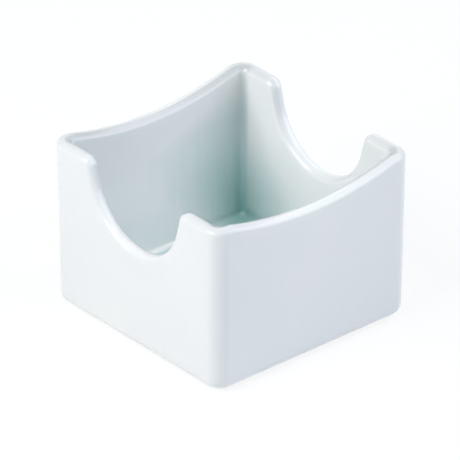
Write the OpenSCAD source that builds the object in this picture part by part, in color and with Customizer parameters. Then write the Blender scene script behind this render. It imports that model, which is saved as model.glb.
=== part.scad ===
// Square porcelain holder for paper sugar packets. Two facing walls have a deep
// finger scoop, the other two sag gently from corner to corner, and the lip
// follows them all round. Millimetres, +Z up, the middle of the foot at the origin.

/* [Body] */
// Outside width at the lip, from one sagging wall to the other
body_w = 79; // [70:0.5:100]
// Outside depth at the lip, from one scooped wall to the other
body_d = 79; // [70:0.5:100]
// Height from the table to the tips of the four corners
body_h = 58; // [50:0.5:75]
// Thickness of the four walls
wall_t = 4.6; // [4.4:0.1:6]
// Thickness of the floor
floor_t = 5; // [3:0.1:8]
// Lean of every wall in degrees, which makes the base narrower than the lip
draft_angle = 0.7; // [0:0.1:3]

/* [Corners and edges] */
// Radius of the four upright corners outside
corner_r = 5.5; // [4.6:0.1:9]
// Radius of the four upright corners of the well at the lip
well_corner_r = 1.6; // [0.8:0.1:4]
// Radius of the four corners of the well's flat floor
floor_corner_r = 3; // [2:0.1:9]
// Rounding along the outer edge of the lip
lip_outer_r = 1.9; // [0.6:0.1:2.1]
// Rounding along the inner edge of the lip
lip_inner_r = 2.1; // [0.6:0.1:2.2]
// Rounding where the walls turn under the base
base_edge_r = 3.8; // [1:0.1:4.4]
// Fillet between the walls of the well and its floor
well_fillet_r = 1.6; // [1:0.1:8]

/* [Finger scoops] */
// Depth of a scoop below the tips of the corners
scoop_depth = 23; // [19:0.5:32]
// Radius of the round bottom of a scoop
scoop_r = 20; // [14:0.5:24]
// Radius that turns the side of a scoop over into the corner's flat tip
scoop_shoulder_r = 3.6; // [2.6:0.1:6]
// Steepest slope of a scoop's sides in degrees
scoop_flank_angle = 75.5; // [68:0.5:82]

/* [Sagging walls] */
// Drop of the lip in the middle of a sagging wall
sag_depth = 4.7; // [1:0.1:10]
// Radius that turns the sagging lip level again near the corners
sag_shoulder_r = 8; // [4:1:30]

/* [Foot] */
// Height of the unglazed foot under the base
foot_h = 1; // [0.5:0.1:2]
// Width of the foot's ring
foot_w = 3; // [1.5:0.1:6]
// Distance from the outside of the base in to the foot
foot_inset = 6; // [5:0.1:12]
// Radius of the foot's four corners inside its ring
foot_corner_r = 3; // [1:0.1:8]

/* [Hidden] */

// At least this share of a scoop's depth is left to its straight flanks
least_flank_share = 0.05;

// Facets along each stretch of the lip, and around each rounded edge
scoop_arc_steps = 10;
scoop_shoulder_steps = 5;
flank_steps = 2;
tip_steps = 2;
sag_arc_steps = 7;
sag_shoulder_steps = 2;
corner_steps = 6;
edge_steps = 4;
foot_facets = 64;

// The well's floor, and the height at which the base edge is tangent to the walls
floor_top = foot_h + floor_t;
base_edge_top = foot_h + base_edge_r;

// The slope of a scoop's sides: as steep as asked, or as its depth allows
scoop_slope = min(
    scoop_flank_angle,
    acos(1 - (1 - least_flank_share) * scoop_depth / (scoop_r + scoop_shoulder_r)));

// How far a wall has drawn in at a height, against its place at the lip
function draft_at(z) = (body_h - z) * tan(draft_angle);

// The foot's outer half sizes, measured in from the outside of the base
foot_half_w = body_w / 2 - draft_at(foot_h) - foot_inset;
foot_half_d = body_d / 2 - draft_at(foot_h) - foot_inset;

// Half of a dip in the lip, from its lowest point out to where the lip is level again:
// a hollow arc, a straight flank if it has steps, and a rounded shoulder. Each entry is
// the distance from the middle, the depth under the tips, and the slope in degrees.
function dip_half(depth, hollow_r, shoulder_r, slope, hollow_n, flank_n, shoulder_n) =
    let (flank = (depth - (hollow_r + shoulder_r) * (1 - cos(slope))) / sin(slope))
    let (flank_x = hollow_r * sin(slope))
    let (flank_depth = depth - hollow_r * (1 - cos(slope)))
    let (end_x = flank_x + flank * cos(slope) + shoulder_r * sin(slope))
    concat(
        [for (i = [0 : hollow_n])
            let (a = slope * i / hollow_n)
            [hollow_r * sin(a), depth - hollow_r * (1 - cos(a)), a]],
        [for (i = [1 : 1 : flank_n - 1])
            let (s = flank * i / flank_n)
            [flank_x + s * cos(slope), flank_depth - s * sin(slope), slope]],
        [for (i = [flank_n > 0 ? 0 : 1 : shoulder_n])
            let (a = slope * (1 - i / shoulder_n))
            [end_x - shoulder_r * sin(a), shoulder_r * (1 - cos(a)), a]]);

// The other half, mirrored and put first, makes the whole dip
function whole_dip(half) = concat(
    [for (i = [len(half) - 1 : -1 : 1]) [-half[i][0], half[i][1], -half[i][2]]],
    half);

// Half the straight run of a wall between its corners, outside at the lip. Walls 0 and 2
// are the scooped ones, front and rear, and walls 1 and 3 the sagging ones.
function full_half(side) = (side % 2 == 0 ? body_w : body_d) / 2;
function full_run(side) = full_half(side) - corner_r;

// The scooped wall: the dip, then level tips that reach the corners
scoop_half = dip_half(
    scoop_depth, scoop_r, scoop_shoulder_r, scoop_slope,
    scoop_arc_steps, flank_steps, scoop_shoulder_steps);
scoop_end = scoop_half[len(scoop_half) - 1][0];
tip = [for (i = [1 : tip_steps])
    [scoop_end + (full_run(0) - scoop_end) * i / tip_steps, 0, 0]];
scooped_lip = whole_dip(concat(scoop_half, tip));

// The sagging wall: one long hollow that meets its shoulders without a flank. The radii
// of the two together follow from the drop and the run that they span.
sag_radii = (sag_depth * sag_depth + full_run(1) * full_run(1)) / (2 * sag_depth);
sagging_lip = whole_dip(dip_half(
    sag_depth, sag_radii - sag_shoulder_r, sag_shoulder_r, asin(full_run(1) / sag_radii),
    sag_arc_steps, 0, sag_shoulder_steps));

// Stations once round the lip: the wall, the place along it, the depth under the tips,
// the slope, and the turn round the corner that ends the wall
stations = [for (side = [0 : 3])
    each concat(
        [for (p = side % 2 == 0 ? scooped_lip : sagging_lip) [side, p[0], p[1], p[2], 0]],
        [for (i = [1 : corner_steps - 1]) [side, full_run(side), 0, 0, 90 * i / corner_steps]])];

// A place along a wall, moved to a skin whose straight run is shorter. Up to fixed_to
// from the middle it stays where it is, so a scoop is cut square through its wall.
function moved_along(place, fixed_to, from_run, to_run) =
    abs(place) <= fixed_to
        ? place
        : sign(place) * (fixed_to
            + (abs(place) - fixed_to) * (to_run - fixed_to) / (from_run - fixed_to));

// A point of a skin that lies depth inside the outer one and has corners of radius r,
// at height z. shift slides it along the wall.
function skin_point(station, depth, r, z, fixed_to, shift) =
    let (side = station[0])
    let (inwards = depth + draft_at(z))
    let (run = full_half(side) - inwards - r)
    let (along = moved_along(station[1], fixed_to, full_run(side), run) + shift + r * sin(station[4]))
    let (out = full_half(side + 1) - inwards - r + r * cos(station[4]))
    [along * cos(90 * side) + out * sin(90 * side), along * sin(90 * side) - out * cos(90 * side), z];

// A ring at one height, for the base and the well's floor
function level_ring(depth, r, z) = [for (s = stations) skin_point(s, depth, r, z, 0, 0)];

// A ring of the lip, drop below its crest, measured square to the lip's own line
function lip_ring(depth, drop) =
    let (r = corner_r + (well_corner_r - corner_r) * depth / wall_t)
    [for (s = stations)
        let (z = body_h - s[2] - drop * cos(s[3]))
        skin_point(s, depth, r, z, s[0] % 2 == 0 ? scoop_end : 0, drop * sin(s[3]))];

// The angles that step once round a rounded edge
edge_angles = [for (i = [0 : edge_steps]) 90 * i / edge_steps];

// Every ring in order: under the base, up the outside, over the lip, down into the well
rings = concat(
    [for (a = edge_angles)
        let (inset = base_edge_r * (1 - sin(a)))
        level_ring(inset, corner_r - inset, base_edge_top - base_edge_r * cos(a))],
    [for (a = edge_angles)
        lip_ring(lip_outer_r * (1 - cos(a)), lip_outer_r * (1 - sin(a)))],
    [for (a = edge_angles)
        lip_ring(wall_t - lip_inner_r * (1 - sin(a)), lip_inner_r * (1 - cos(a)))],
    [for (a = edge_angles)
        level_ring(
            wall_t + well_fillet_r * (1 - cos(a)),
            well_corner_r + (floor_corner_r - well_corner_r) * (1 - cos(a)),
            floor_top + well_fillet_r * (1 - sin(a)))]);

// A closed solid through rings that have as many points each. Its two flat ends are fans
// round the axis, so that no triangle lies along a straight side.
module loft(rings) {
    count = len(rings[0]);
    last = len(rings) - 1;
    first_hub = count * len(rings);
    last_hub = first_hub + 1;
    sides = [for (j = [0 : last - 1], i = [0 : count - 1])
        let (low = j * count)
        let (high = low + count)
        let (next = (i + 1) % count)
        each [[low + i, high + i, high + next], [low + i, high + next, low + next]]];
    ends = [for (i = [0 : count - 1])
        let (next = (i + 1) % count)
        each [[first_hub, i, next], [last_hub, last * count + next, last * count + i]]];
    hubs = [for (ring = [rings[0], rings[last]]) [0, 0, ring[0][2]]];
    polyhedron(points = concat([for (ring = rings) each ring], hubs), faces = concat(sides, ends));
}

// A rectangle with round corners, given by its half sizes
module rounded_plate(half_w, half_d, r) {
    square([2 * half_w, 2 * (half_d - r)], center = true);
    square([2 * (half_w - r), 2 * half_d], center = true);
    for (x = [-1, 1], y = [-1, 1])
        translate([x * (half_w - r), y * (half_d - r)])
            circle(r, $fn = foot_facets);
}

// The glazed shell: walls, floor and lip in one skin
module porcelain_body() {
    color("white")
        loft(rings);
}

// The unglazed ring that stands on the table, against the underside of the base
module foot_ring() {
    color("linen")
        linear_extrude(foot_h)
            difference() {
                rounded_plate(foot_half_w, foot_half_d, foot_corner_r + foot_w);
                rounded_plate(foot_half_w - foot_w, foot_half_d - foot_w, foot_corner_r);
            }
}

porcelain_body();
foot_ring();
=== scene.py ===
# %% [markdown]
# A square porcelain holder for paper sugar packets. It is one fired piece: a glazed shell
# with four walls, and under it a low foot that is left without glaze. The frame holds both
# at their real size, in metres. This lesson gives them smooth surfaces, glaze and light.

# %% Load the frame and keep its box
import math
import bpy
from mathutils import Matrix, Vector


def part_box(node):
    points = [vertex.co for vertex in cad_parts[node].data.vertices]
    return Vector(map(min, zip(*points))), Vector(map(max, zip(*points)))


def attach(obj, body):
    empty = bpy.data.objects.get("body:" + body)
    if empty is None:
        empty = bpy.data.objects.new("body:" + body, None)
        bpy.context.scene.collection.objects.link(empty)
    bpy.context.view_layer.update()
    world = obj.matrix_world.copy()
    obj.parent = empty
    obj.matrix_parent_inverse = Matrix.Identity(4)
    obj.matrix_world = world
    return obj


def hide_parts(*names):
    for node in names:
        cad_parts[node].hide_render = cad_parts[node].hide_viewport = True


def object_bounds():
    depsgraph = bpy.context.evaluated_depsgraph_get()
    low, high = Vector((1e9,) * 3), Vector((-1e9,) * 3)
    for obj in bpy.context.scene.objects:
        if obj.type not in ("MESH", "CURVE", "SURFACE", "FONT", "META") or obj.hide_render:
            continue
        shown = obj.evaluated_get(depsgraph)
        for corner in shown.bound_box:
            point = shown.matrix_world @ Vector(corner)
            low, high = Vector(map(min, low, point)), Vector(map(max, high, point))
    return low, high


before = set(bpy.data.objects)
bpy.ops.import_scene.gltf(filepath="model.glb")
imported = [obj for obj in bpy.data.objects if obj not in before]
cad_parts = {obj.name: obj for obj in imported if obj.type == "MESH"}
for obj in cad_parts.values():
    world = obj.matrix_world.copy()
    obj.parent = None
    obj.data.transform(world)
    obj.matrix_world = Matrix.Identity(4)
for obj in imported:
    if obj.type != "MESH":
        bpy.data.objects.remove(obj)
CAD_LOW, CAD_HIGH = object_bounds()
MM = 0.001                         # a millimetre in metres
print("frame box in mm:", [round(v / MM, 2) for v in (*CAD_LOW, *CAD_HIGH)])

# %% [markdown]
# The camera stands well back with a long lens, as a catalogue photographer's does, so the
# upright edges stay almost parallel. It looks at the corner between a scooped wall and a
# sagging wall, from above the lip. Its focal length is known in pixels of the picture, and
# the width of the sensor turns that into millimetres of lens.


# %% Camera
def direction(azimuth, elevation):
    """The unit vector from the holder towards a bearing and a height, both in degrees."""
    a, e = math.radians(azimuth), math.radians(elevation)
    return Vector((math.sin(a) * math.cos(e), -math.cos(a) * math.cos(e), math.sin(e)))


PICTURE = 460                      # width and height of the picture in pixels
FOCAL_PIXELS = 10783               # focal length of the lens, in the same pixels
SENSOR = 36.0                      # width of the sensor in millimetres
CAMERA_AZIMUTH, CAMERA_ELEVATION = 49.33, 30.01     # bearing and height in degrees
CAMERA_DISTANCE = 3310 * MM
AIM_RIGHT, AIM_UP = -0.32 * MM, -1.03 * MM          # how far it looks past the middle
SEEN_FROM, SEEN_TO = 50 * MM, 20.0                  # it shows nothing nearer or farther

camera_back = direction(CAMERA_AZIMUTH, CAMERA_ELEVATION)
camera_right = direction(CAMERA_AZIMUTH + 90, 0)
middle = (CAD_LOW + CAD_HIGH) / 2
aim = middle + camera_right * AIM_RIGHT + Vector((0, 0, AIM_UP))

camera = bpy.data.objects.new("camera", bpy.data.cameras.new("camera"))
camera.data.sensor_width = SENSOR
camera.data.lens = FOCAL_PIXELS * SENSOR / PICTURE
camera.location = middle + camera_back * CAMERA_DISTANCE
camera.rotation_mode = "QUATERNION"
camera.rotation_quaternion = (aim - camera.location).to_track_quat("-Z", "Y")
camera.data.clip_start, camera.data.clip_end = SEEN_FROM, SEEN_TO
bpy.context.scene.collection.objects.link(camera)
bpy.context.scene.camera = camera
print("lens", round(camera.data.lens, 1), "mm at", round(CAMERA_DISTANCE, 3), "m")

# %% [markdown]
# Both the form and the finishes are written as sums on the sockets of node trees. A small
# class wraps a socket, so that a sum such as 1 - share adds the Math nodes by itself, in a
# geometry tree and in a shader tree alike. One method makes every other kind of node, from
# its type, its settings, and the values or wires of its inputs.


# %% A socket that can be used in sums
class Wire:
    """A node's output, usable in Python sums."""

    def __init__(self, socket):
        self.socket = socket

    @staticmethod
    def make(tree, kind, settings=None, values=None, output=0):
        """A new node of a kind, and the wire of one of its outputs."""
        node = tree.nodes.new(kind)
        for name, value in (settings or {}).items():
            setattr(node, name, value)
        for key, value in (values or {}).items():
            if isinstance(value, Wire):
                tree.links.new(value.socket, node.inputs[key])
            else:
                node.inputs[key].default_value = value
        return Wire(node.outputs[output])

    def math(self, operation, *others, clamp=False, reflected=False):
        """The result of a Math node on this wire and the others, numbers or wires."""
        values = (*others, self) if reflected else (self, *others)
        settings = {"operation": operation, "use_clamp": clamp}
        return Wire.make(self.socket.id_data, "ShaderNodeMath", settings, dict(enumerate(values)))

    def __add__(self, other):
        return self.math("ADD", other)

    def __sub__(self, other):
        return self.math("SUBTRACT", other)

    def __rsub__(self, other):
        return self.math("SUBTRACT", other, reflected=True)

    def __mul__(self, other):
        return self.math("MULTIPLY", other)

    def __truediv__(self, other):
        return self.math("DIVIDE", other)

    __radd__ = __add__
    __rmul__ = __mul__

    def between(self, low, high):
        """0 up to low, 1 from high, and a straight ramp from one to the other."""
        return (self - low).math("DIVIDE", high - low, clamp=True)

    def eased(self, low, high):
        """The same ramp with soft ends."""
        ramp = self.between(low, high)
        return ramp * ramp * (3 - 2 * ramp)

    def mix(self, a, b):
        """a where this is 0, b where it is 1."""
        return a + self * (b - a)

    def axes(self):
        """The wires of a vector's three parts."""
        parts = Wire.make(self.socket.id_data, "ShaderNodeSeparateXYZ", {}, {0: self})
        return [Wire(part) for part in parts.socket.node.outputs]


print("wires can be added, subtracted, multiplied and divided")

# %% [markdown]
# The shell is slip-cast porcelain. Its walls lean in a little towards the base, two of them
# have a deep scoop for finger and thumb, and the other two sag from corner to corner. It
# could be a box with bevelled edges and the scoops cut out of it, but then the round of the
# lip breaks where a cut meets a corner. Here one rule places every vertex, so the lip stays
# round all the way. It makes all four walls from a hollow arc, a straight flank, a rounded
# shoulder and a level tip, and on a sagging wall the flank and the tip shrink to nothing.
# These are the sizes that the rule needs.

# %% Sizes of the shell
shell_low, shell_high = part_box("porcelain_body")
SHELL = {
    "Width": 79.0 * MM,
    "Depth": 79.0 * MM,
    "Height": shell_high.z,
    "Wall": 4.6 * MM,
    "Floor": 5.0 * MM,
    "Foot height": shell_low.z,
    "Draft": math.tan(math.radians(0.7)),
    "Corner radius": 5.5 * MM,
    "Well corner radius": 1.6 * MM,
    "Floor corner radius": 3.0 * MM,
    "Lip outer radius": 1.9 * MM,
    "Lip inner radius": 2.1 * MM,
    "Base edge radius": 3.8 * MM,
    "Well fillet radius": 1.6 * MM,
    "Scoop depth": 23.0 * MM,
    "Scoop radius": 20.0 * MM,
    "Scoop shoulder": 3.6 * MM,
    "Scoop slope": math.radians(75.5),
    "Sag depth": 4.7 * MM,
    "Sag shoulder": 8.0 * MM,
}
print("wall", SHELL["Wall"] / MM, "mm, scoop", SHELL["Scoop depth"] / MM, "mm deep")

# %% [markdown]
# A rectangular sheet of vertices is wrapped into the shell. Across the sheet runs the way
# round the lip, and up the sheet runs the way from under the base, up the outside, over the
# lip and down into the well. The counts below say how many steps each stretch gets, so
# that every change of curve falls on a row or a column of vertices. A scooped wall has a
# hollow, a flank, a shoulder and a tip on each side of its middle. A sagging wall spends
# the same number of steps on its hollow and its shoulder alone.

# %% Steps of the sheet
WALLS = 4
QUARTER = math.pi / 2
HOLLOW, FLANK, SHOULDER, TIP, CORNER = 20, 6, 10, 6, 16
HALF_WALL = HOLLOW + FLANK + SHOULDER + TIP
SIDE = 2 * HALF_WALL + CORNER
SAG_SHOULDER = 8                   # steps of the shoulder on a sagging wall
UP_STEPS = {
    "base flat": 6, "base edge": 10, "outer wall": 24, "lip outside": 8, "crest": 2,
    "lip inside": 8, "inner wall": 24, "well fillet": 10, "well floor": 8,
}
ROWS = sum(UP_STEPS.values())
print("sheet of", WALLS * SIDE, "by", ROWS, "faces")

# %% [markdown]
# A tree of geometry nodes gets a named input for each size, so that the form can be changed
# from outside. It ends by shading the form smooth and giving it its material. A bare carrier
# object runs the tree once, and what comes out is kept as a plain mesh.


# %% Helpers for geometry trees
def new_geometry_tree(name, sizes):
    """An empty tree with a named input for each size, and its wires by name."""
    tree = bpy.data.node_groups.new(name, "GeometryNodeTree")
    tree.interface.new_socket(name="Geometry", in_out="OUTPUT", socket_type="NodeSocketGeometry")
    for label in sizes:
        tree.interface.new_socket(name=label, in_out="INPUT", socket_type="NodeSocketFloat")
    entry = tree.nodes.new("NodeGroupInput")
    return tree, {label: Wire(entry.outputs[label]) for label in sizes}


def end_tree(tree, geometry, material):
    """Shades the geometry smooth, realizes it, gives it its material and sends it out."""
    smooth = Wire.make(tree, "GeometryNodeSetShadeSmooth", {}, {"Geometry": geometry, "Shade Smooth": True})
    solid = Wire.make(tree, "GeometryNodeRealizeInstances", {}, {"Geometry": smooth})
    dressed = Wire.make(tree, "GeometryNodeSetMaterial", {}, {"Geometry": solid, "Material": material})
    tree.links.new(dressed.socket, tree.nodes.new("NodeGroupOutput").inputs["Geometry"])


def mesh_from_tree(name, tree, sizes):
    """Runs a tree with its sizes and returns the result as an object with a plain mesh."""
    carrier = bpy.data.objects.new(name + "_carrier", bpy.data.meshes.new(name + "_carrier"))
    bpy.context.scene.collection.objects.link(carrier)
    modifier = carrier.modifiers.new(name, "NODES")
    modifier.node_group = tree
    for socket in tree.interface.items_tree:
        if socket.in_out == "INPUT":
            modifier[socket.identifier] = sizes[socket.name]
    evaluated = carrier.evaluated_get(bpy.context.evaluated_depsgraph_get())
    mesh = bpy.data.meshes.new_from_object(evaluated)
    bpy.data.objects.remove(carrier)
    piece = bpy.data.objects.new(name, mesh)
    bpy.context.scene.collection.objects.link(piece)
    print(name, "has", len(mesh.vertices), "vertices and", len(mesh.polygons), "faces")
    return piece


print("the sizes of a tree are metres, radians or plain shares")

# %% [markdown]
# The rule that shapes the shell comes in three parts. First the way round: which wall a
# vertex belongs to, how far along it lies, and how far it has turned round the corner.
# The dip of the lip is the sum of its stretches, each clamped to its own range, so no
# stretch needs a switch.


# %% The way round the lip
def way_round(u, size):
    """Wires for a vertex's wall, its place along that wall, and the lip's dip and slope."""
    walls = u * WALLS
    side = walls.math("FLOOR").math("MINIMUM", WALLS - 1)
    step = (walls - side) * SIDE
    signed = step.between(0, 2 * HALF_WALL) * 2 - 1
    turn = step.between(2 * HALF_WALL, SIDE) * QUARTER
    sagging = side.math("MODULO", 2)
    half_out = sagging.mix(size["Depth"], size["Width"]) / 2
    half_along = sagging.mix(size["Width"], size["Depth"]) / 2
    full_run = half_along - size["Corner radius"]
    both_radii = (size["Sag depth"] * size["Sag depth"] + full_run * full_run) / (2 * size["Sag depth"])
    depth = sagging.mix(size["Scoop depth"], size["Sag depth"])
    hollow_r = sagging.mix(size["Scoop radius"], both_radii - size["Sag shoulder"])
    shoulder_r = sagging.mix(size["Scoop shoulder"], size["Sag shoulder"])
    slope = sagging.mix(size["Scoop slope"], (full_run / both_radii).math("ARCSINE"))
    rise, reach = slope.math("SINE"), 1 - slope.math("COSINE")
    flank = (depth - (hollow_r + shoulder_r) * reach) / rise * (1 - sagging)
    scoop_end = (hollow_r + shoulder_r) * rise + flank * slope.math("COSINE")
    away = signed.math("ABSOLUTE") * HALF_WALL
    hollow_to = sagging.mix(HOLLOW, HALF_WALL - SAG_SHOULDER)
    flank_to = sagging.mix(HOLLOW + FLANK, HALF_WALL - SAG_SHOULDER)
    shoulder_to = sagging.mix(HOLLOW + FLANK + SHOULDER, HALF_WALL)
    bend = slope * away.between(0, hollow_to)
    straight = flank * away.between(hollow_to, flank_to) * (1 - sagging)
    unbend = slope * away.between(flank_to, shoulder_to)
    level = (full_run - scoop_end) * away.between(shoulder_to, HALF_WALL) * (1 - sagging)
    left = slope - unbend
    place = (hollow_r * bend.math("SINE") + straight * slope.math("COSINE")
             + shoulder_r * (rise - left.math("SINE")) + level)
    dip = (depth - hollow_r * (1 - bend.math("COSINE")) - straight * rise
           - shoulder_r * (left.math("COSINE") - slope.math("COSINE")))
    return {
        "side": side, "sign": signed.math("SIGN"), "turn": turn, "half_out": half_out,
        "half_along": half_along, "full_run": full_run, "place": place, "dip": dip,
        "slope": bend - unbend, "fixed_to": (1 - sagging) * scoop_end,
    }


print("a side has", SIDE, "steps, of which", CORNER, "turn the corner")

# %% [markdown]
# Then the way up: how deep in the wall the vertex lies, how far it has dropped round an
# edge of the lip, and its height where the sheet is level, under the base and in the well.
# Up and down are its shares of the way along the outer and the inner wall, and spread is 0
# in the middle of the base and of the floor, where the sheet closes.


# %% The way up and over
def way_up(v, size):
    """Wires for a vertex's depth in the wall, its drop under the lip, and its heights."""
    row, share, start = v * ROWS, {}, 0
    for stretch, steps in UP_STEPS.items():
        share[stretch] = row.between(start, start + steps)
        start += steps
    base, lip_out = share["base edge"] * QUARTER, share["lip outside"] * QUARTER
    lip_in, fillet = share["lip inside"] * QUARTER, share["well fillet"] * QUARTER
    base_in = size["Base edge radius"] * (1 - base.math("SINE"))
    flat_crest = size["Wall"] - size["Lip outer radius"] - size["Lip inner radius"]
    through = (size["Lip outer radius"] * (1 - lip_out.math("COSINE"))
               + flat_crest * share["crest"] + size["Lip inner radius"] * lip_in.math("SINE"))
    fillet_in = 1 - fillet.math("COSINE")
    radius = ((through / size["Wall"]).mix(size["Corner radius"], size["Well corner radius"])
              - base_in + (size["Floor corner radius"] - size["Well corner radius"]) * fillet_in)
    return {
        "through": through, "radius": radius,
        "depth": base_in + through + size["Well fillet radius"] * fillet_in,
        "drop": (size["Lip outer radius"] * (1 - lip_out.math("SINE"))
                 + size["Lip inner radius"] * (1 - lip_in.math("COSINE"))),
        "up": share["outer wall"], "down": share["inner wall"],
        "base_z": size["Foot height"] + size["Base edge radius"] * (1 - base.math("COSINE")),
        "well_z": size["Foot height"] + size["Floor"] + size["Well fillet radius"],
        "sunk": size["Well fillet radius"] * fillet.math("SINE"),
        "spread": share["base flat"] * (1 - share["well floor"]),
    }


print("the crest is", round((SHELL["Wall"] - SHELL["Lip outer radius"]
                             - SHELL["Lip inner radius"]) / MM, 2), "mm wide")

# %% [markdown]
# Last comes the place itself. A scoop is cut square through its wall, so near the lip a
# vertex keeps its distance from the middle of the wall on both skins, while at the base and
# at the floor the whole wall closes up evenly. A slow noise draws the walls in by a hair, as
# firing does, and the corners of the sheet close by merging. How far through its wall each
# vertex lies is stored on the sheet, for the glaze.

# %% Tree of the shell
FIRING = {"Firing warp": 0.003, "Warp scale": 22.0}      # largest share drawn in, noise scale
WARP_DETAIL, WARP_ROUGHNESS = 1.0, 0.4
MERGE_WITHIN = 0.002 * MM


def shell_tree(material):
    """The tree that wraps the sheet into the shell."""
    tree, size = new_geometry_tree("porcelain shell", {**SHELL, **FIRING})
    sheet = Wire.make(tree, "GeometryNodeMeshGrid", {}, {
        "Size X": 1.0, "Size Y": 1.0, "Vertices X": WALLS * SIDE + 1, "Vertices Y": ROWS + 1})
    u, v = Wire.make(tree, "GeometryNodeInputPosition").axes()[:2]
    around, over = way_round(u + 0.5, size), way_up(v + 0.5, size)
    lip_z = size["Height"] - around["dip"] - over["drop"] * around["slope"].math("COSINE")
    outer_z = over["up"].mix(over["base_z"], lip_z)
    z = over["down"].mix(outer_z, over["well_z"]) - over["sunk"]
    inwards = over["depth"] + (size["Height"] - z) * size["Draft"]
    near_lip = over["up"] * (1 - over["down"])
    run = around["half_along"] - inwards - over["radius"]
    level_place = around["place"] * run / around["full_run"]
    fixed = around["fixed_to"]
    beyond = (around["place"] - fixed).math("MAXIMUM", 0)
    lip_place = (around["place"].math("MINIMUM", fixed)
                 + beyond * (run - fixed) / (around["full_run"] - fixed))
    lip_place = lip_place + over["drop"] * around["slope"].math("SINE")
    along = (around["sign"] * near_lip.mix(level_place, lip_place)
             + over["radius"] * around["turn"].math("SINE")) * over["spread"]
    out = (around["half_out"] - inwards - over["radius"]
           + over["radius"] * around["turn"].math("COSINE")) * over["spread"]
    angle = around["side"] * QUARTER
    x = along * angle.math("COSINE") + out * angle.math("SINE")
    y = along * angle.math("SINE") - out * angle.math("COSINE")
    shape = Wire.make(tree, "ShaderNodeCombineXYZ", {}, {0: x, 1: y, 2: z})
    noise = Wire.make(tree, "ShaderNodeTexNoise", {"noise_dimensions": "3D"}, {
        "Vector": shape, "Scale": size["Warp scale"],
        "Detail": WARP_DETAIL, "Roughness": WARP_ROUGHNESS})
    pull = 1 - noise * size["Firing warp"]
    warped = Wire.make(tree, "ShaderNodeCombineXYZ", {}, {0: x * pull, 1: y * pull, 2: z})
    store = {"data_type": "FLOAT", "domain": "POINT"}
    marked = Wire.make(tree, "GeometryNodeStoreNamedAttribute", store, {
        "Geometry": sheet, "Name": "well_share", "Value": over["through"] / size["Wall"]})
    placed = Wire.make(tree, "GeometryNodeSetPosition", {}, {"Geometry": marked, "Position": warped})
    closed = Wire.make(tree, "GeometryNodeMergeByDistance", {}, {
        "Geometry": placed, "Distance": MERGE_WITHIN})
    end_tree(tree, closed, material)
    return tree


print("firing draws a wall in by up to",
      round(FIRING["Firing warp"] * SHELL["Width"] / 2 / MM, 2), "mm")

# %% Build the shell
glaze = bpy.data.materials.new("glazed_porcelain")
shell = mesh_from_tree("porcelain_shell", shell_tree(glaze), {**SHELL, **FIRING})
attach(shell, "root")
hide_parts("porcelain_body")

# %% [markdown]
# The foot is a low ring under the base. Its path is a rectangle with filleted corners, and
# its section is a small rectangle whose edges are rubbed round after firing. It could be cut
# from a plate, with every edge bevelled after that. Sweeping the section along the path
# rounds all edges at once, and the ring takes its outer sizes from the frame.

# %% Tree of the foot
foot_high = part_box("foot_ring")[1]
FOOT = {
    "Half width": foot_high.x,
    "Half depth": foot_high.y,
    "Height": foot_high.z,
    "Ring width": 3.0 * MM,
    "Inner corner radius": 3.0 * MM,
    "Rubbed edge": 0.35 * MM,
}
FOOT_CORNER_POINTS, FOOT_EDGE_POINTS, STRAIGHT_CUTS = 12, 5, 2


def foot_tree(material):
    """The tree that sweeps the foot's section along its path."""
    tree, size = new_geometry_tree("porcelain foot", FOOT)
    band = size["Ring width"]
    path = Wire.make(tree, "GeometryNodeCurvePrimitiveQuadrilateral", {}, {
        "Width": 2 * size["Half width"] - band, "Height": 2 * size["Half depth"] - band})
    path = Wire.make(tree, "GeometryNodeFilletCurve", {"mode": "POLY"}, {
        "Curve": path, "Count": FOOT_CORNER_POINTS, "Radius": size["Inner corner radius"] + band / 2})
    path = Wire.make(tree, "GeometryNodeSubdivideCurve", {}, {"Curve": path, "Cuts": STRAIGHT_CUTS})
    section = Wire.make(tree, "GeometryNodeCurvePrimitiveQuadrilateral", {}, {
        "Width": band, "Height": size["Height"]})
    section = Wire.make(tree, "GeometryNodeFilletCurve", {"mode": "POLY"}, {
        "Curve": section, "Count": FOOT_EDGE_POINTS, "Radius": size["Rubbed edge"]})
    ring = Wire.make(tree, "GeometryNodeCurveToMesh", {}, {"Curve": path, "Profile Curve": section})
    lift = Wire.make(tree, "ShaderNodeCombineXYZ", {}, {2: size["Height"] / 2})
    placed = Wire.make(tree, "GeometryNodeSetPosition", {}, {"Geometry": ring, "Offset": lift})
    end_tree(tree, placed, material)
    return tree


print("foot", round(2 * foot_high.x / MM, 1), "mm wide and", round(foot_high.z / MM, 1), "mm high")

# %% Build the foot
bisque = bpy.data.materials.new("bisque")
foot = mesh_from_tree("porcelain_foot", foot_tree(bisque), FOOT)
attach(foot, "root")
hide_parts("foot_ring")

# %% [markdown]
# A finish is a tree of nodes too. It starts from the place on the object, so that a pattern
# stays where it is on the piece, and it ends in one shader, which takes the colour, the
# roughness and a height that makes the surface slightly uneven.


# %% Helpers for finishes
def start_shader(material):
    """Clears a material and gives its tree, its main shader and the place on the object."""
    material.use_nodes = True
    tree = material.node_tree
    tree.nodes.clear()
    shader = tree.nodes.new("ShaderNodeBsdfPrincipled")
    output = tree.nodes.new("ShaderNodeOutputMaterial")
    tree.links.new(shader.outputs[0], output.inputs[0])
    place = Wire.make(tree, "ShaderNodeTexCoord", {}, {}, "Object")
    return tree, shader, place


def end_shader(tree, shader, colour, roughness, strength, height):
    """Links a colour, a roughness and a height in metres, felt at a strength."""
    bump = Wire.make(tree, "ShaderNodeBump", {}, {
        "Strength": strength, "Distance": 1.0, "Height": height})
    for wire, name in ((colour, "Base Color"), (roughness, "Roughness"), (bump, "Normal")):
        tree.links.new(wire.socket, shader.inputs[name])


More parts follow.
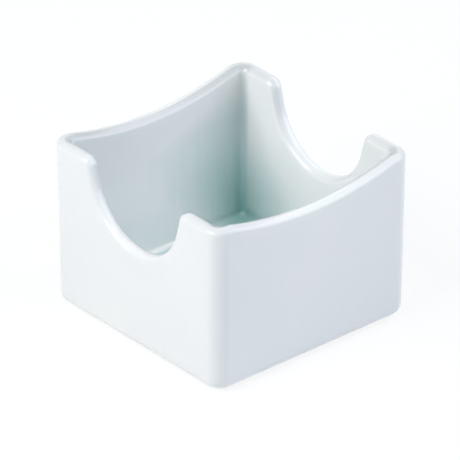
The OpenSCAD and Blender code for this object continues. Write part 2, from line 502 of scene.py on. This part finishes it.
def colour_mix(tree, share, a, b):
    """The colour a where the share is 0, b where it is 1. Each is a wire or three numbers."""
    a, b = (colour if isinstance(colour, Wire) else (*colour, 1) for colour in (a, b))
    return Wire.make(tree, "ShaderNodeMix", {"data_type": "RGBA"}, {0: share, 6: a, 7: b}, 2)


def noise_at(tree, place, scale, detail, roughness=0.5):
    """A cloudy pattern from 0 to 1, with about as many clouds to the metre as its scale."""
    return Wire.make(tree, "ShaderNodeTexNoise", {}, {
        "Vector": place, "Scale": scale, "Detail": detail, "Roughness": roughness})


print("helpers ready for", glaze.name, "and", bisque.name)

# %% [markdown]
# The glaze is clear glass over a white body. Where it lies thick it turns blue-green, and
# the same dark blue-green paints the shade in the upright corners of the well and towards
# the floor. Along a sagging wall this painted shade spreads wide from the rear corner at half
# height and stays narrow in front. Along a scooped wall it stays low, and it gathers in the
# corners of the floor as well. Runs in the glaze make the edges of the pools uneven. A
# painted picture could show all this, but a rule that reads the distances from the corner
# and the floor needs no unwrapping and stays sharp at any size. The pairs of numbers are the
# places, or the values, between which something grows or fades.

# %% Where the glaze lies thick, with painted shade in the corners
WELL_HALF = SHELL["Width"] / 2 - SHELL["Wall"]
RUNS_SCALE, RUNS_DETAIL, RUNS_STRETCH, RUNS_WIDTH = 260.0, 3.0, 0.16, 7 * MM
# The dark blue-green stands both for thick glaze and for painted shade in the corners of the well.
POOLS_WEAKEN = (5 * MM, 40 * MM)          # heights
SAG_WIDENS = (2 * MM, 34 * MM)            # heights, and the pool's width at both
SAG_WIDTH = (17 * MM, 41 * MM)
SAG_NARROWS = (36 * MM, 52 * MM)          # heights, and the share of the width at both
SAG_WIDTH_SHARE = (1.0, 0.3)
SAG_TO_REAR = (-20 * MM, 4 * MM)          # from front to rear, and the share of the width
SAG_REAR_SHARE = (0.22, 1.0)
SAG_STRENGTH = (0.43, 1.01)               # high up and low down
SAG_FADES = (40 * MM, 57 * MM)            # heights
SCOOP_WIDTH, SCOOP_STRENGTH = 40 * MM, 0.60
FLOOR_WIDTH = (4 * MM, 25 * MM)           # distances from a corner of the floor
FLOOR_FADES = (7 * MM, 15 * MM)           # heights
FLOOR_STRENGTH = 0.82


def pool_and_shade_share(tree, place, axes, on_scoop):
    """How far the dark blue-green of thick glaze and painted shade shows at a place in the well."""
    x, y, z = axes
    along_sag = WELL_HALF - y.math("ABSOLUTE")
    along_scoop = WELL_HALF - x.math("ABSOLUTE")
    upright = Wire.make(tree, "ShaderNodeMapping", {}, {
        "Vector": place, "Scale": (1, 1, RUNS_STRETCH)})
    streak = (noise_at(tree, upright, RUNS_SCALE, RUNS_DETAIL) - 0.5) * RUNS_WIDTH
    low = 1 - z.eased(*POOLS_WEAKEN)
    width = z.eased(*SAG_WIDENS).mix(*SAG_WIDTH) * z.eased(*SAG_NARROWS).mix(*SAG_WIDTH_SHARE)
    width = width * y.eased(*SAG_TO_REAR).mix(*SAG_REAR_SHARE)
    sag_pool_shade = (1 - (along_sag + streak).between(0.0, width)) * low.mix(*SAG_STRENGTH)
    sag_pool_shade = sag_pool_shade * (1 - z.eased(*SAG_FADES))
    scoop_pool_shade = (1 - (along_scoop + streak).eased(0.0, SCOOP_WIDTH)) * (SCOOP_STRENGTH * low)
    from_corner = (along_sag * along_sag + along_scoop * along_scoop).math("SQRT")
    floor_pool_shade = (1 - from_corner.between(*FLOOR_WIDTH)) * (1 - z.eased(*FLOOR_FADES))
    walls_pool_shade = on_scoop.mix(sag_pool_shade, scoop_pool_shade)
    return walls_pool_shade.math("MAXIMUM", floor_pool_shade * FLOOR_STRENGTH)


# The widest reach of the dark blue-green, thick glaze and painted shade together.
print("glaze lies thick up to", round(SAG_WIDTH[1] / MM), "mm from a corner")

# %% [markdown]
# Outside, the white of the glaze goes over into a cooler one in slow clouds. In the well the
# colour paints light and shade: a scooped wall is painted lighter high up and darker low
# down, a sagging wall is painted darker, and the floor keeps the outside white. Over the lip
# a grey paints shade, less on a scooped wall. The share stored on the sheet tells the outside
# from the well. A clear coat gives the sharp gloss of glass, and a slow swell with a fine
# ripple bends it.

# %% Glaze
GLAZE_WHITE = (0.885, 0.90, 0.905)        # outside, and on the floor of the well
GLAZE_COOL = (0.868, 0.89, 0.90)          # outside, in the clouds
SCOOP_PAINTED_LIGHT = (0.94, 0.942, 0.945)         # painted light, high on a scooped wall of the well
SCOOP_PAINTED_SHADE = (0.765, 0.785, 0.795)       # painted shade, low on a scooped wall of the well
SAG_PAINTED_SHADE = (0.812, 0.828, 0.836)        # painted shade, on a sagging wall of the well
LIP_PAINTED_SHADE = (0.62, 0.645, 0.655)         # painted shade over the lip
POOL_TINT_AND_SHADE = (0.18, 0.44, 0.42)           # blue-green of thick glaze, dark enough to paint the shade in the corners
WELL_BEGINS = (0.75, 1.0)                 # shares of the wall's thickness
# shares of the wall's thickness where the painted shade over the lip grows and fades, and its share on a
# scooped wall
LIP_SHADE_BEGINS, LIP_SHADE_ENDS = (0.4, 0.65), (0.88, 1.0)
LIP_SHADE_ON_SCOOP = 0.4
SCOOP_BEGINS = (0.5 * MM, 3.5 * MM)       # distances from the corner
# heights between which a scooped wall goes from painted shade to painted light
PAINTED_SHADE_HEIGHTS = (8 * MM, 54 * MM)
FLOOR_TO_WALL = (4 * MM, 20 * MM)         # heights over which the floor's white turns into the painted shade of the walls
CLOUD_SCALE, CLOUD_DETAIL, CLOUD_EDGE = 45.0, 2.0, (0.35, 0.65)
GLAZE_ROUGHNESS = (0.07, 0.12)
GLAZE_IOR, COAT_WEIGHT, COAT_ROUGHNESS = 1.5, 0.35, 0.04
SWELL_SCALE, SWELL_DETAIL, SWELL_HEIGHT = 60.0, 1.0, 0.9 * MM
RIPPLE_SCALE, RIPPLE_DETAIL, RIPPLE_HEIGHT = 900.0, 2.0, 0.006 * MM
GLAZE_BUMP = 0.25


def glaze_shader(material):
    """Glossy white glaze, blue-green where it lies thick, with painted light and shade in the well."""
    tree, shader, place = start_shader(material)
    x, y, z = place.axes()
    in_well = Wire.make(tree, "ShaderNodeAttribute", {"attribute_name": "well_share"}, {}, "Fac")
    inside = in_well.eased(*WELL_BEGINS)
    on_scoop = (WELL_HALF - x.math("ABSOLUTE")).eased(*SCOOP_BEGINS)
    cloud = noise_at(tree, place, CLOUD_SCALE, CLOUD_DETAIL)
    outer = colour_mix(tree, cloud.eased(*CLOUD_EDGE), GLAZE_WHITE, GLAZE_COOL)
    # A scooped wall is painted darker low down and lighter high up, as painted shade and light.
    scoop_painted_shading = colour_mix(tree, z.eased(*PAINTED_SHADE_HEIGHTS), SCOOP_PAINTED_SHADE, SCOOP_PAINTED_LIGHT)
    # A sagging wall gets painted shade all over, and near the floor the painted shade fades into the
    # outside white.
    well_painted_shading = colour_mix(tree, on_scoop, SAG_PAINTED_SHADE, scoop_painted_shading)
    well = colour_mix(tree, z.eased(*FLOOR_TO_WALL), GLAZE_WHITE, well_painted_shading)
    # Painted shade over the lip, weaker on a scooped wall.
    lip_shade = in_well.eased(*LIP_SHADE_BEGINS) * (1 - in_well.eased(*LIP_SHADE_ENDS))
    lip_shade = lip_shade * on_scoop.mix(1.0, LIP_SHADE_ON_SCOOP)
    # The dark blue-green of thick glaze, which also paints the shade in the corners of the well.
    pool_and_shade = inside * pool_and_shade_share(tree, place, (x, y, z), on_scoop)
    colour = colour_mix(tree, inside, outer, well)
    colour = colour_mix(tree, lip_shade, colour, LIP_PAINTED_SHADE)
    colour = colour_mix(tree, pool_and_shade, colour, POOL_TINT_AND_SHADE)
    shader.inputs["IOR"].default_value = GLAZE_IOR
    shader.inputs["Coat Weight"].default_value = COAT_WEIGHT
    shader.inputs["Coat Roughness"].default_value = COAT_ROUGHNESS
    swell = noise_at(tree, place, SWELL_SCALE, SWELL_DETAIL) * SWELL_HEIGHT
    ripple = noise_at(tree, place, RIPPLE_SCALE, RIPPLE_DETAIL) * RIPPLE_HEIGHT
    end_shader(tree, shader, colour, cloud.mix(*GLAZE_ROUGHNESS), GLAZE_BUMP, swell + ripple)


glaze_shader(glaze)
print("glaze on", shell.name, "from", len(glaze.node_tree.nodes), "nodes")

# %% [markdown]
# The foot has no glaze. Bare fired porcelain is a matt, very fine grained white that warms a
# little in the kiln, with the odd grey speck, and its edge is greyer where it has slid over
# tables. Three noises are enough for it: a fine grain, wide patches, and a sparse one whose
# peaks are the specks.

# %% Bisque
BISQUE_COOL, BISQUE_WARM = (0.80, 0.78, 0.74), (0.87, 0.855, 0.82)
BISQUE_WORN, BISQUE_SPECK = (0.60, 0.585, 0.56), (0.42, 0.38, 0.33)
GRAIN_SCALE, GRAIN_DETAIL, GRAIN_ROUGHNESS, GRAIN_HEIGHT = 2600.0, 4.0, 0.6, 0.04 * MM
PATCH_SCALE, PATCH_DETAIL = 120.0, 3.0
SPECK_SCALE, SPECK_DETAIL, SPECK_EDGE = 1400.0, 1.0, (0.74, 0.8)
WORN_HEIGHT, WORN_EDGE, WORN_STRENGTH = 0.3 * MM, (0.45, 0.7), 0.5
BISQUE_ROUGHNESS = (0.78, 0.93)
BISQUE_BUMP = 0.5


def bisque_shader(material):
    """Matt bare porcelain, with specks and a worn edge at the table."""
    tree, shader, place = start_shader(material)
    grain = noise_at(tree, place, GRAIN_SCALE, GRAIN_DETAIL, GRAIN_ROUGHNESS)
    patch = noise_at(tree, place, PATCH_SCALE, PATCH_DETAIL)
    specks = noise_at(tree, place, SPECK_SCALE, SPECK_DETAIL).eased(*SPECK_EDGE)
    worn = (1 - place.axes()[2].eased(0.0, WORN_HEIGHT)) * patch.eased(*WORN_EDGE)
    colour = colour_mix(tree, patch, BISQUE_COOL, BISQUE_WARM)
    colour = colour_mix(tree, worn * WORN_STRENGTH, colour, BISQUE_WORN)
    colour = colour_mix(tree, specks, colour, BISQUE_SPECK)
    end_shader(tree, shader, colour, grain.mix(*BISQUE_ROUGHNESS), BISQUE_BUMP, grain * GRAIN_HEIGHT)


bisque_shader(bisque)
print("bisque on", foot.name, "from", len(bisque.node_tree.nodes), "nodes")

# %% [markdown]
# The studio is a white table and a white room. Rays that show them straight, in a gloss or
# through glass see plain white. All other rays find the table and the room at the level that
# lights the holder, and the table keeps a faint shadow.


# %% Backdrop
def end_backdrop(tree, kind, share, lit, shown):
    """Ends a tree in an output of a kind, with a share of another shader where it shows."""
    path = Wire.make(tree, "ShaderNodeLightPath").socket.node.outputs
    shows = Wire(path["Is Camera Ray"]) + Wire(path["Is Glossy Ray"]) + Wire(path["Is Transmission Ray"])
    share = shows.math("MINIMUM", 1.0) * share
    both = Wire.make(tree, "ShaderNodeMixShader", {}, {0: share, 1: lit, 2: shown})
    tree.links.new(both.socket, tree.nodes.new(kind).inputs[0])


PLAIN_WHITE = (1, 1, 1, 1)
print("backdrop shows", PLAIN_WHITE[:3])

# %% Table
FLOOR_HALF = 3.0
TABLE_COLOUR, TABLE_GLOW, TABLE_SHOWN = (0.85, 0.86, 0.87, 1), 1.1, 0.75
TABLE_CORNERS = ((-1, -1), (1, -1), (1, 1), (-1, 1))

floor_mesh = bpy.data.meshes.new("table")
floor_mesh.from_pydata([(x * FLOOR_HALF, y * FLOOR_HALF, 0) for x, y in TABLE_CORNERS], [], [(0, 1, 2, 3)])
floor = bpy.data.objects.new("table", floor_mesh)
bpy.context.scene.collection.objects.link(floor)

table_top = bpy.data.materials.new("table_top")
table_top.use_nodes = True
tree = table_top.node_tree
tree.nodes.clear()
lit = Wire.make(tree, "ShaderNodeBsdfDiffuse", {}, {"Color": TABLE_COLOUR})
shown = Wire.make(tree, "ShaderNodeEmission", {}, {"Color": PLAIN_WHITE, "Strength": TABLE_GLOW})
end_backdrop(tree, "ShaderNodeOutputMaterial", TABLE_SHOWN, lit, shown)
floor_mesh.materials.append(table_top)
print("table", 2 * FLOOR_HALF, "m wide")

# %% Room
ROOM_COLOUR, ROOM_LEVEL = (0.80, 0.91, 1.0, 1), 0.345

world = bpy.data.worlds.new("room")
bpy.context.scene.world = world
world.use_nodes = True
tree = world.node_tree
tree.nodes.clear()
lit = Wire.make(tree, "ShaderNodeBackground", {}, {"Color": ROOM_COLOUR, "Strength": ROOM_LEVEL})
shown = Wire.make(tree, "ShaderNodeBackground", {}, {"Color": PLAIN_WHITE, "Strength": 1.0})
end_backdrop(tree, "ShaderNodeOutputWorld", 1.0, lit, shown)
print("room lights at", ROOM_LEVEL)

# %% [markdown]
# Lamps light the holder, and not a picture of a studio, because each wall gets its tone
# from one lamp that can be moved by itself. A soft lamp stands in front of the scooped wall,
# so that wall is the bright one. A wide and cooler one, like a window, stands behind on the
# right. A thin strip behind draws the line of light along the lip, and a narrow beam reaches
# the floor of the well.


# %% Lamps
def aimed_lamp(name, lamp, azimuth, elevation, distance, target):
    """Puts a lamp in a direction from its target, given as the camera's is, and aims it."""
    back = direction(azimuth, elevation)
    holder = bpy.data.objects.new(name, lamp)
    holder.location = target + back * distance
    holder.rotation_mode = "QUATERNION"
    holder.rotation_quaternion = (-back).to_track_quat("-Z", "Y")
    bpy.context.scene.collection.objects.link(holder)


def soft_lamp(name, azimuth, elevation, distance, size, power, colour):
    """A flat lamp that faces the middle of the holder, with its distance and size in metres."""
    lamp = bpy.data.lights.new(name, "AREA")
    lamp.shape, lamp.energy, lamp.color = "RECTANGLE", power, colour
    lamp.size, lamp.size_y = size
    aimed_lamp(name, lamp, azimuth, elevation, distance, middle)


soft_lamp("front_lamp", azimuth=-9, elevation=37, distance=0.9,
          size=(0.75, 0.45), power=5.3, colour=(1.0, 0.965, 0.93))
soft_lamp("window_lamp", azimuth=138, elevation=31, distance=1.2,
          size=(1.1, 1.1), power=7.1, colour=(0.92, 0.94, 1.0))
soft_lamp("lip_lamp", azimuth=212, elevation=44, distance=0.9,
          size=(0.5, 0.08), power=0.35, colour=(1.0, 1.0, 1.0))

BEAM_POWER, BEAM_RADIUS, BEAM_ANGLE, BEAM_SOFTNESS = 6.2, 30 * MM, 10.0, 1.0
BEAM_SPOT = Vector((-14 * MM, 0, SHELL["Floor"]))
beam = bpy.data.lights.new("well_lamp", "SPOT")
beam.energy, beam.shadow_soft_size = BEAM_POWER, BEAM_RADIUS
beam.spot_size, beam.spot_blend = math.radians(BEAM_ANGLE), BEAM_SOFTNESS
aimed_lamp("well_lamp", beam, azimuth=100, elevation=74, distance=0.5, target=BEAM_SPOT)
bpy.context.scene.view_settings.view_transform = "Standard"
